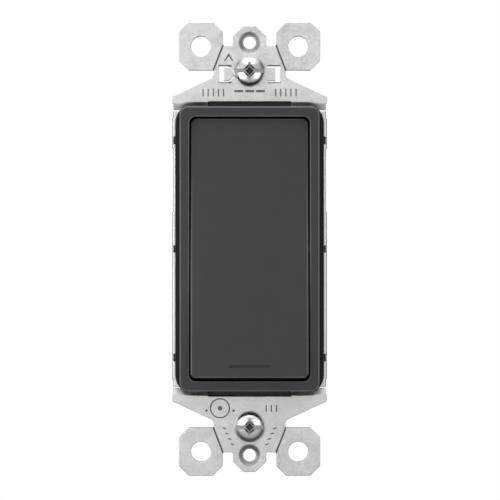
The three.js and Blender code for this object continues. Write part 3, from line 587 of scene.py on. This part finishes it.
def fold(sheet):
    """Cuts the flat sheet into strips where it curves, then bends it."""
    across = [sx * x for sx in (-1, 1) for x in (14.2, 14.7, 15.2, 15.8)]
    across += [sx * (BEND["start"] + BEND["step"] * k) for sx in (-1, 1) for k in range(len(FRONT_PATH))]
    along = [sz * (STEP["head"] - 0.15 * k) for sz in (-1, 1) for k in range(14)]
    along += [WAIST["low"] + 0.1 * k for k in range(4)]
    along += [WAIST["high"] - 0.1 * k for k in range(4)]
    along += [sz * (WAIST["end"] + 0.1 * k) for sz in (-1, 1) for k in range(4)]
    bm = bmesh.new()
    bm.from_mesh(sheet.data)
    for normal, places in ((Vector((1, 0, 0)), across), (Vector((0, 0, 1)), along)):
        for at in places:
            geom = bm.verts[:] + bm.edges[:] + bm.faces[:]
            bmesh.ops.bisect_plane(bm, geom=geom, dist=1e-5, plane_co=normal * at, plane_no=normal)
    for v in bm.verts:
        v.co = bent(v.co)
    bm.to_mesh(sheet.data)
    bm.free()


def ground_tab():
    left, right, front, back, r = (TAB[key] for key in ("left", "right", "front", "back", "corner"))
    outline = filleted([(left, front, 0.0), (right, front, 0.0), (right, back, r), (left, back, r)])
    hole = circle(TAB["hole_r"], *TAB["hole"])
    return plate(outline, TAB["top"] - SHEET, TAB["top"], [hole], axis="Z")


def strap_cutters():
    """Tools for the hooks' notches, the countersinks, the score lines of the ears and the stamped marks."""
    tools = []
    for sx in (-1, 1):
        for z in HOOK_PLACES:
            for outer, back in ((NOTCH["hole"], CLEAR_BACK), (NOTCH["front"], NOTCH["depth"])):
                low = (sx * NOTCH["inner"], CLEAR_FRONT, z - NOTCH["half"])
                tools.append(block(low, (sx * outer, back, z + NOTCH["half"]), 0))
    slope = [(2.75, -0.02), (2.58, 0.03), (2.32, 0.14), (2.05, 0.32), (1.8, 0.52), (PLATE_HOLE_R, 0.62),
             (0, 0.62)]
    sink = [(0, CLEAR_FRONT), (slope[0][0], CLEAR_FRONT)] + [(r, depth - SHEET) for r, depth in slope]
    for sz in (-1, 1):
        tools.append(lathe(sink, 48, Matrix.Translation((0, 0, sz * PLATE_SCREW_Z))))
        for sx in (-1, 1):
            (x0, z0), (x1, z1) = SCORE["foot"], SCORE["head"]
            line = bar(sx * x0, sz * z0, sx * x1, sz * z1, SCORE["width"])
            tools.append(plate(line, CLEAR_FRONT, -SHEET + SCORE["depth"], edge=0))
    floor_y = -SHEET + STAMP["depth"]
    tools += [plate(mark, CLEAR_FRONT, floor_y, edge=0) for mark in marks()]
    rim, middle = circle(RING["outer"], *RING["at"]), circle(RING["inner"], *RING["at"])
    tools.append(plate(rim, CLEAR_FRONT, floor_y, [middle], edge=0))
    tools.append(plate(circle(RING["dot"], *RING["at"], 24), CLEAR_FRONT, floor_y, edge=0))
    return tools


def strap_material(centre, normal):
    """Which of the strap's materials a face has: plain plate, painted shade in the stamped marks and notches,
    or painted shade in the countersink.
    """
    plain, dark, sink = 0, 1, 2
    off_axis = math.hypot(centre.x, abs(centre.z) - PLATE_SCREW_Z)
    # Countersink faces get the painted shade.
    if off_axis < 2.6 and -0.98 < normal.y < -0.1:
        return sink
    # Notch faces and the floors of stamped marks get the painted shade.
    in_notch = min(abs(centre.z - z) for z in HOOK_PLACES) < NOTCH["half"] + 0.01
    in_notch = in_notch and NOTCH["inner"] - 0.05 < abs(centre.x) < NOTCH["front"] + 0.01
    if in_notch and centre.y > -0.5 and normal.x * centre.x < 0.1:
        return dark
    depth = centre.y + SHEET
    stamped = STAMP["depth"] / 2 < depth < SCORE["depth"] + 0.04 and normal.y < -0.95
    return dark if stamped and abs(centre.z) > STAMP["above"] else plain


def strap():
    ear_x, ear_z, ear_r = EAR["hole"]
    holes = [window_outline(), *lance_outlines()]
    for sz in (-1, 1):
        holes += [circle(ear_r, sx * ear_x, sz * ear_z) for sx in (-1, 1)]
        holes.append(circle(PLATE_HOLE_R, 0, sz * PLATE_SCREW_Z))
        holes.append(rounded(*DEVICE_SLOT, 0, sz * DEVICE_SCREW_Z))
    sheet = plate(strap_outline(), -SHEET, 0.0, holes, edge=0.12)
    fold(sheet)
    join(sheet, ground_tab())
    cut(sheet, *strap_cutters())
    for poly in sheet.data.polygons:
        poly.material_index = strap_material(poly.center, poly.normal)
    finish(sheet, "strap_plate", "switch_frame", [ZINC, ZINC_GROOVE_SHADE, ZINC_SINK_SHADE], ["strap"],
           sharp=20)


strap()


# ---------- front cover ----------
OPENING = (14.0, 30.7, 1.5)  # half width, half height and corner radius
COVER_FACE = (16.27, 33.05, 2.0)
COVER_BASE = (17.45, 33.3, 3.7)
COVER_BACK = -0.65
COVER_EDGE = {"outer_r": 0.28, "inner_r": 0.2, "base": 0.2, "bulge": 0.16}
COLLAR = {"back": 0.2, "wall": 0.95, "edge": 0.15}
PIVOT_BORE = {"r": 1.5, "from": 13, "to": 15.3}
HOOK_HALF = 0.775


def cover_outside():
    """Sections (y, half width, half height, corner) from the base, up the bulging wall, round to the face."""
    base_w, base_h, base_c = COVER_BASE
    face_w, face_h, face_c = COVER_FACE
    edge, outer_r = COVER_EDGE["base"], COVER_EDGE["outer_r"]
    sections = [(COVER_BACK - a, base_w - b, base_h - b, base_c - b)
                for a, b in ((0.0, edge), (0.3 * edge, 0.3 * edge), (edge, 0.0))]
    wall_start, wall_end, steps = COVER_BACK - edge, FACE_Y + outer_r, 6
    for k in range(1, steps):
        t = k / steps
        bulge = COVER_EDGE["bulge"] * math.sin(math.pi * t)
        sections.append((wall_start + (wall_end - wall_start) * t, base_w + (face_w - base_w) * t + bulge,
                         base_h + (face_h - base_h) * t + bulge * 0.3, base_c + (face_c - base_c) * t))
    for a in quarter_turn(5):
        d = outer_r * (1 - math.cos(a))
        sections.append((wall_end - outer_r * math.sin(a), face_w - d, face_h - d, face_c - d))
    return sections


def cover_inside():
    """Sections from the face down the opening, round the collar behind it and back to the base."""
    open_w, open_h, open_c = OPENING
    inner_r = COVER_EDGE["inner_r"]
    back, wall, edge = COLLAR["back"], COLLAR["wall"], COLLAR["edge"]
    sections = []
    for a in quarter_turn(4):
        d = inner_r * (1 - math.sin(a))
        sections.append((FACE_Y + inner_r * (1 - math.cos(a)), open_w + d, open_h + d, open_c + d))
    collar = [(back - edge, 0.0), (back, edge), (back, wall - edge), (back - edge, wall), (COVER_BACK, wall)]
    return sections + [(y, open_w + d, open_h + d, open_c + (edge if d == edge else 0.0)) for y, d in collar]


def hooks():
    out = []
    for sx in (-1, 1):
        for z in HOOK_PLACES:
            side = filleted([(15.6, -1.75, 0.0), (17.66, -1.75, 0.15), (17.66, 5.0, 0.1), (17.2, 6.4, 0.1),
                             (16.75, 6.4, 0.1), (16.35, 5.2, 0.05), (16.95, 5.2, 0.1), (16.95, 0.5, 0.25),
                             (15.6, 0.5, 0.0)])
            hook = plate([(sx * x, y) for x, y in side], z - HOOK_HALF, z + HOOK_HALF, axis="Z")
            out.append(cut(hook, block((sx * 10, -1, z - 2), (sx * 15.9, 2, z + 2), 0)))
    return out


def cover_material(centre, normal):
    """Which of the cover's materials a face has: plain face, painted highlight on the rounded edges, or
    painted shade on the outer wall.
    """
    open_w, open_h, _ = OPENING
    outside = abs(centre.x) > open_w + 1.3 or abs(centre.z) > open_h + 1.3
    edge_r = COVER_EDGE["outer_r" if outside else "inner_r"]
    if outside and centre.y > FACE_Y + edge_r and normal.y > -0.7:
        return 2
    return 1 if centre.y < FACE_Y + edge_r and normal.y > -0.99 else 0


def cover():
    shell = lofted(cover_outside() + cover_inside(), 12, closed=True)
    join(shell, *hooks())
    across = Matrix.Translation((0, PIVOT_Y, 0)) @ AXES["X"]
    for sx in (-1, 1):
        low, high = sorted((sx * PIVOT_BORE["from"], sx * PIVOT_BORE["to"]))
        cut(shell, bore(PIVOT_BORE["r"], low, high, across))
    for poly in shell.data.polygons:
        poly.material_index = cover_material(poly.center, poly.normal)
    finish(shell, "front_bezel", "switch_frame", [BEZEL, BEZEL_EDGE_HIGHLIGHT, BEZEL_WALL_SHADE],
           ["front_cover"])


cover()


# ---------- rocker: paddle, plunger and spring, drawn with the axis at the origin ----------
PADDLE_HALF = (13.65, 30.15, 1.2)  # half width, half height and corner radius
PADDLE_FACE = -4.235
PADDLE_PLATE = 1.5
PADDLE_WALL = 1.3
PADDLE_EDGE_R = 0.3
SKIRT_END = -1.4
RIB = {"half": 0.5, "end": -0.6, "x": 4.5, "pitch": 9.6}
TRUNNION = {"boss_r": 1.6, "pin_r": 1.43, "end": 14.95}
STEM = {"bore_r": 1.9, "end": 11.2}
BAR = {"z": -27.5, "half": 4.75, "depth": 0.15}  # engraved at the foot of the paddle
ROCKER_PLACE = Matrix.Translation((0, PIVOT_Y, 0)) @ Matrix.Rotation(-TILT, 4, "X")
PADDLE_ROOT = PADDLE_FACE + PADDLE_PLATE - 0.2  # where ribs and stem start, inside the plate


def paddle_shell():
    half_w, half_h, corner = PADDLE_HALF
    inner_w, inner_h, inner_c = half_w - PADDLE_WALL, half_h - PADDLE_WALL, corner / 2
    plate_back = PADDLE_FACE + PADDLE_PLATE
    sections = []
    for a in quarter_turn(5):
        d = PADDLE_EDGE_R * (1 - math.sin(a))
        y = PADDLE_FACE + PADDLE_EDGE_R * (1 - math.cos(a))
        sections.append((y, half_w - d, half_h - d, corner - 0.5 * d))
    sections += [(SKIRT_END - 0.12, half_w + 0.1, half_h + 0.2, corner),
                 (SKIRT_END, half_w - 0.02, half_h + 0.08, corner),
                 (SKIRT_END, inner_w, inner_h, inner_c),
                 (plate_back + 0.3, inner_w, inner_h, inner_c),
                 (plate_back, inner_w - 0.3, inner_h - 0.3, inner_c)]
    return lofted(sections, 10)


def ribs():
    reach_x, reach_z = (half - PADDLE_WALL + 0.2 for half in PADDLE_HALF[:2])
    half, end = RIB["half"], RIB["end"]
    upright = [sx * RIB["x"] for sx in (-1, 1)]
    level = [k * RIB["pitch"] for k in (-2, -1, 1, 2)]
    out = [block((x - half, PADDLE_ROOT, -reach_z), (x + half, end, reach_z), 0.1) for x in upright]
    return out + [block((-reach_x, PADDLE_ROOT, z - half), (reach_x, end, z + half), 0.1) for z in level]


def trunnions():
    half_w, r = PADDLE_HALF[0], TRUNNION["boss_r"]
    inner = half_w - PADDLE_WALL - 0.4
    web = filleted([(PADDLE_ROOT, -r, 0.0), (PADDLE_ROOT, r, 0.0), (0.0, r, 0.0), (0.0, -r, 0.0)])
    out = []
    for sx in (-1, 1):
        low, high = sorted((sx * inner, sx * half_w))
        out.append(plate(web, low, high, axis="X"))
        out.append(plate(circle(r, steps=40), low, high, axis="X"))
        low, high = sorted((sx * inner, sx * TRUNNION["end"]))
        out.append(plate(circle(TRUNNION["pin_r"], steps=40), low, high, edge=0.15, axis="X"))
    return out


def paddle_material(centre, normal):
    """Which of the paddle's materials a face has: plain face, engraved bar or painted highlight on the
    rounded edge.
    """
    half_w, half_h, _ = PADDLE_HALF
    depth = centre.y - PADDLE_FACE
    rim = abs(centre.x) > half_w - PADDLE_EDGE_R or abs(centre.z) > half_h - PADDLE_EDGE_R
    if rim and depth < PADDLE_EDGE_R and normal.y > -0.99:
        return 2
    in_bar = abs(centre.x) < BAR["half"] + 0.05 and abs(centre.z - BAR["z"]) < 0.4
    return 1 if in_bar and 0.02 < depth < BAR["depth"] + 0.01 else 0


def paddle():
    shell = paddle_shell()
    end = STEM["end"]
    stem = [(0, PADDLE_ROOT), (3.5, PADDLE_ROOT), (3.15, PADDLE_ROOT + 0.5), (3.0, PADDLE_ROOT + 1.0),
            (3.0, end - 0.3), (2.75, end), (0, end)]
    join(shell, *ribs(), *trunnions(), lathe(stem))
    groove = rounded(BAR["half"], 0.36, 0.35, 0, BAR["z"])
    cut(shell, bore(STEM["bore_r"], -2.0, end + 1, steps=40),
        plate(groove, PADDLE_FACE - 1, PADDLE_FACE + BAR["depth"], edge=0))
    for poly in shell.data.polygons:
        poly.material_index = paddle_material(poly.center, poly.normal)
    moved(shell, ROCKER_PLACE)
    finish(shell, "rocker_face", "rocker", [PADDLE, MARK, PADDLE_EDGE_HIGHLIGHT], ["rocker_paddle"])


def plunger():
    r, end = 1.78, 15.1
    nose = [(1.5 * math.cos(a), end - 1.5 + 1.5 * math.sin(a)) for a in quarter_turn(8)][:-1]
    cup = lathe([(0, 6.4), (r - 0.18, 6.4), (r, 6.6), (r, 13.0), (r - 0.06, 13.25), *nose, (0, end)], 40)
    cut(cup, bore(1.15, 6.0, 11.4))
    moved(cup, ROCKER_PLACE)
    finish(cup, "plunger_cup", "plunger", [ACETAL], ["plunger"])


def helix(coil_r, wire_r, y0, y1, turns):
    """A compression spring with its end turns wound close."""
    sides, steps, closed = 10, 24, 1.0
    close_pitch = 2.2 * wire_r
    free_pitch = (y1 - y0 - 2 * closed * close_pitch) / (turns - 2 * closed)
    up = Vector((0, 1, 0))
    bm = bmesh.new()
    rings = []
    for k in range(int(turns * steps) + 1):
        n = k / steps
        rise = (min(n, closed) + max(0.0, n - turns + closed)) * close_pitch
        rise += max(0.0, min(n, turns - closed) - closed) * free_pitch
        a = 2 * math.pi * n
        out = Vector((math.cos(a), 0, math.sin(a)))
        centre = out * coil_r + up * (y0 + rise)
        around = [2 * math.pi * i / sides for i in range(sides)]
        rings.append([bm.verts.new(centre + (out * math.cos(t) + up * math.sin(t)) * wire_r) for t in around])
    skin(bm, rings)
    bm.faces.new(rings[0])
    bm.faces.new(rings[-1])
    return shape(bm)


def plunger_spring():
    coil = moved(helix(0.86, 0.22, -1.7, 10.4, 9.0), ROCKER_PLACE)
    finish(coil, "plunger_coil", "rocker", [SPRING], ["plunger_spring"], sharp=60)


paddle()
plunger()
plunger_spring()


# ---------- screws, drawn with the seat of the head at the origin and the head towards -Y ----------
DEVICE_HEAD = {"r": 3.66, "height": 2.0, "power": 2.2, "rim": 0.14}
TERMINAL_HEAD = {"r": 3.5, "height": 2.4}
DEVICE_THREAD = (1.7, 1.34, 0.794)  # outer radius, root radius and pitch
TERMINAL_THREAD = (1.95, 1.55, 0.9)
THREAD_START = -0.3  # inside the head
SLOT_REACH = 5.0  # past the edge of any head


def threaded(major, minor, pitch, end):
    """A threaded shank with a pointed start."""
    sides, steps = 28, 8
    bm = bmesh.new()
    rings = []
    length = end - THREAD_START
    count = int(length / pitch * steps)
    for k in range(count + 1):
        along = length * k / count
        taper = 0.8 + 0.2 * min(1.0, (length - along) / (1.2 * pitch))
        ring = []
        for i in range(sides):
            a = 2 * math.pi * i / sides
            phase = (along / pitch - i / sides) % 1.0  # 0.5 on the crest, which is flat
            r = (minor + (major - minor) * clamp01(1.35 - 2.7 * abs(phase - 0.5))) * taper
            ring.append(bm.verts.new((r * math.cos(a), THREAD_START + along, r * math.sin(a))))
        rings.append(ring)
    skin(bm, rings)
    bm.faces.new(rings[0])
    bm.faces.new(rings[-1])
    return shape(bm)


def frustum(half0, y0, half1, y1):
    """A four-sided cutter whose half diagonals are half0 at y0 and half1 at y1."""
    bm = bmesh.new()
    rings = []
    for half, y in ((half0, y0), (half1, y1)):
        rings.append([bm.verts.new((x, y, z)) for x, z in circle(half, steps=4)])
    skin(bm, rings)
    bm.faces.new(rings[0])
    bm.faces.new(rings[1])
    return shape(bm)


def drive(top, scale=1.0):
    """Cutters of a combination recess: a slot across, the tips of a cross and a square well on its corner."""
    s = scale
    return [
        block((-SLOT_REACH, top - 1, -0.47 * s), (SLOT_REACH, top + 0.95 * s, 0.47 * s), 0),
        frustum(2.0 * s, top - 0.2, 1.2 * s, top + 0.9 * s),
        block((-0.32 * s, top - 1, -2.05 * s), (0.32 * s, top + 0.5 * s, 2.05 * s), 0),
        frustum(1.0 * s, top + 0.85 * s, 0.55 * s, top + 1.75 * s),
    ]


def dome_y(r):
    """Height of the device screw's domed head at a distance from its axis."""
    head_r, power = DEVICE_HEAD["r"], DEVICE_HEAD["power"]
    rise = max(0.0, 1 - (r / head_r) ** power) ** (1 / power)
    return -DEVICE_HEAD["height"] * max(DEVICE_HEAD["rim"], rise)


def device_screw():
    head_r, head_h, steps = DEVICE_HEAD["r"], DEVICE_HEAD["height"], 20
    radii = [head_r * math.sin(RIGHT_ANGLE * k / steps) for k in range(1, steps + 1)]
    dome = [(0, -head_h)] + [(r, dome_y(r)) for r in radii]
    screw = lathe(dome + [(head_r, -0.12), (head_r - 0.12, 0), (0, 0)], 64)
    join(screw, threaded(*DEVICE_THREAD, SCREW_HIGH.y + SHEET + 0.05))
    cut(screw, *drive(-head_h))
    # Faces sunk in the drive recess get the painted shade, darkest in the well.
    for poly in screw.data.polygons:
        r, y = math.hypot(poly.center.x, poly.center.z), poly.center.y
        sunk = r < head_r - 0.05 and dome_y(r) + 0.1 < y < -0.2 and poly.normal.y < 0.5
        in_well = r < 1.05 and y > 0.97 - head_h
        poly.material_index = (2 if in_well else 1) if sunk else 0
    return screw


def terminal_screw():
    r, h = TERMINAL_HEAD["r"], TERMINAL_HEAD["height"]
    crown = [(0, -h), (r - 0.9, -h), (r - 0.5, 0.08 - h), (r - 0.15, 0.35 - h), (r, 0.75 - h),
             (r, -0.2), (r - 0.2, 0), (0, 0)]
    screw = lathe(crown, 56)
    join(screw, threaded(*TERMINAL_THREAD, 5.3))
    return cut(screw, *drive(-h, 0.95))


for place, sz in (("top", 1), ("bottom", -1)):
    at = Matrix.Translation((0, SCREW_LOW.y + DEVICE_HEAD["height"], sz * DEVICE_SCREW_Z))
    finish(moved(device_screw(), at), f"device_screw_{place}", f"mounting_screw_{place}",
           [NICKEL, SCREW_RECESS_SHADE, SCREW_WELL_SHADE], [f"mounting_screw_{place}"])

for side in ("line", "load"):
    low, high = corners(f"{side}_terminal_screw")
    at = Matrix.Translation((high.x - TERMINAL_HEAD["height"], (low.y + high.y) / 2, (low.z + high.z) / 2))
    screw = moved(terminal_screw(), at @ Matrix.Rotation(RIGHT_ANGLE, 4, "Z"))
    finish(screw, f"{side}_screw", f"{side}_clamp", [BRASS], [f"{side}_terminal_screw"])

low, high = corners("ground_screw")
at = Matrix.Translation(((low.x + high.x) / 2, (low.y + high.y) / 2, low.z + TERMINAL_HEAD["height"]))
screw = moved(terminal_screw(), at @ Matrix.Rotation(RIGHT_ANGLE, 4, "X"))
finish(screw, "earth_screw", "ground_screw", [GREEN], ["ground_screw"])


# ---------- plain pieces that keep their CAD shape, with softened edges ----------
def dress(node, material, bevel=0.12):
    """Gives a CAD node merged flat faces, rounded edges and its own material."""
    obj = frame["nodes"][node]
    obj.data.materials.clear()
    obj.data.materials.append(material)
    merge = obj.modifiers.new("merge", "DECIMATE")
    merge.decimate_type = "DISSOLVE"
    merge.angle_limit = math.radians(1)
    edges = obj.modifiers.new("edges", "BEVEL")
    edges.width = bevel * MM
    edges.segments = 2
    edges.limit_method = "ANGLE"
    edges.angle_limit = math.radians(30)
    edges.harden_normals = True
    obj.modifiers.new("normals", "WEIGHTED_NORMAL").keep_sharp = True


dress("back_body", BODY, 0.25)
dress("auto_ground_clip", BRASS, 0.06)
dress("contact_arm", BRASS, 0.08)
dress("moving_contact", SILVER, 0.15)
dress("fixed_contact", SILVER, 0.15)
for side in ("line", "load"):
    dress(f"{side}_terminal", BRASS)
    dress(f"{side}_pressure_plate", ZINC)
for place in ("top", "bottom"):
    dress(f"screw_retainer_{place}", FIBRE, 0.1)
for place in ("upper", "lower"):
    dress(f"bumper_{place}", RUBBER, 0.2)


# ---------- camera, light and floor ----------
VIEW_DISTANCE = 0.5  # metres, like all sizes in this section
VIEW_WIDTH = 0.11723  # width of the picture at the front of the strap
VIEW_OFFSET = (0.0001, -0.00025)
FLOOR = {"y": 0.02, "z": -0.115, "half": 0.22}


def camera():
    data = bpy.data.cameras.new("camera")
    data.sensor_width = 36
    data.lens = data.sensor_width * VIEW_DISTANCE / VIEW_WIDTH
    data.clip_start = 0.01
    data.clip_end = 20
    obj = bpy.data.objects.new("camera", data)
    obj.location = (VIEW_OFFSET[0], -VIEW_DISTANCE - SHEET * MM, VIEW_OFFSET[1])
    obj.rotation_euler = (RIGHT_ANGLE, 0, 0)
    scene.collection.objects.link(obj)
    scene.camera = obj


# Soft lights all round: direction they come from, half angles where full and where gone, strength.
LIGHTS = [
    ((0.0, -1.0, 0.2), 38, 88, 0.58),
    ((-0.8, -0.75, 0.4), 5, 52, 0.26),
    ((0.0, -0.15, 1.0), 20, 55, 0.9),
    ((-1.0, -0.2, 0.1), 8, 34, 0.5),
    ((0.0, 0.62, 0.8), 10, 48, 1.2),
]
AMBIENT = 0.07

# Soft boxes close to the front: place, size and power.
SOFT_BOXES = [
    ((-0.1, -0.13, 0.0), 0.13, 0.09),
    ((0.1, -0.14, 0.0), 0.12, 0.055),
    ((0.0, -0.1, 0.17), 0.12, 0.07),
]


def lighting():
    world = bpy.data.worlds.new("studio")
    world.use_nodes = True
    scene.world = world
    g = Graph(world.node_tree)
    way = g.add("ShaderNodeTexCoord").outputs["Generated"]
    total = AMBIENT
    for direction, inner, outer, strength in LIGHTS:
        towards = Vector(direction).normalized()
        near = g.add("ShaderNodeVectorMath", {0: way, 1: towards}, operation="DOT_PRODUCT").outputs["Value"]
        near_edge, far_edge = math.cos(math.radians(outer)), math.cos(math.radians(inner))
        total = g.math("ADD", total, g.remap(near, near_edge, far_edge, 0.0, strength, smooth=True))
    light = g.add("ShaderNodeBackground", {"Color": rgba(1, 1, 1), "Strength": total})
    paper = g.add("ShaderNodeBackground", {"Color": rgba(1, 1, 1), "Strength": 1.0})
    seen = g.add("ShaderNodeLightPath").outputs["Is Camera Ray"]
    both = g.add("ShaderNodeMixShader", {0: seen, 1: light.outputs[0], 2: paper.outputs[0]})
    g.add("ShaderNodeOutputWorld", {"Surface": both.outputs[0]})


def soft_boxes():
    for i, (place, size, power) in enumerate(SOFT_BOXES):
        data = bpy.data.lights.new(f"soft_box_{i}", "AREA")
        data.shape = "SQUARE"
        data.size = size
        data.energy = power
        obj = bpy.data.objects.new(data.name, data)
        obj.location = place
        obj.rotation_euler = (-Vector(place)).to_track_quat("-Z", "Y").to_euler()
        scene.collection.objects.link(obj)


def floor():
    bm = bmesh.new()
    bmesh.ops.create_grid(bm, x_segments=12, y_segments=12, size=FLOOR["half"])
    obj = shape(bm, Matrix.Translation((0, FLOOR["y"], FLOOR["z"])))
    obj.name = obj.data.name = "floor"
    obj.data.materials.append(PALE_FLOOR)
    obj.visible_diffuse = False
    obj.visible_glossy = False


camera()
lighting()
soft_boxes()
floor()
scene.view_settings.view_transform = "Standard"
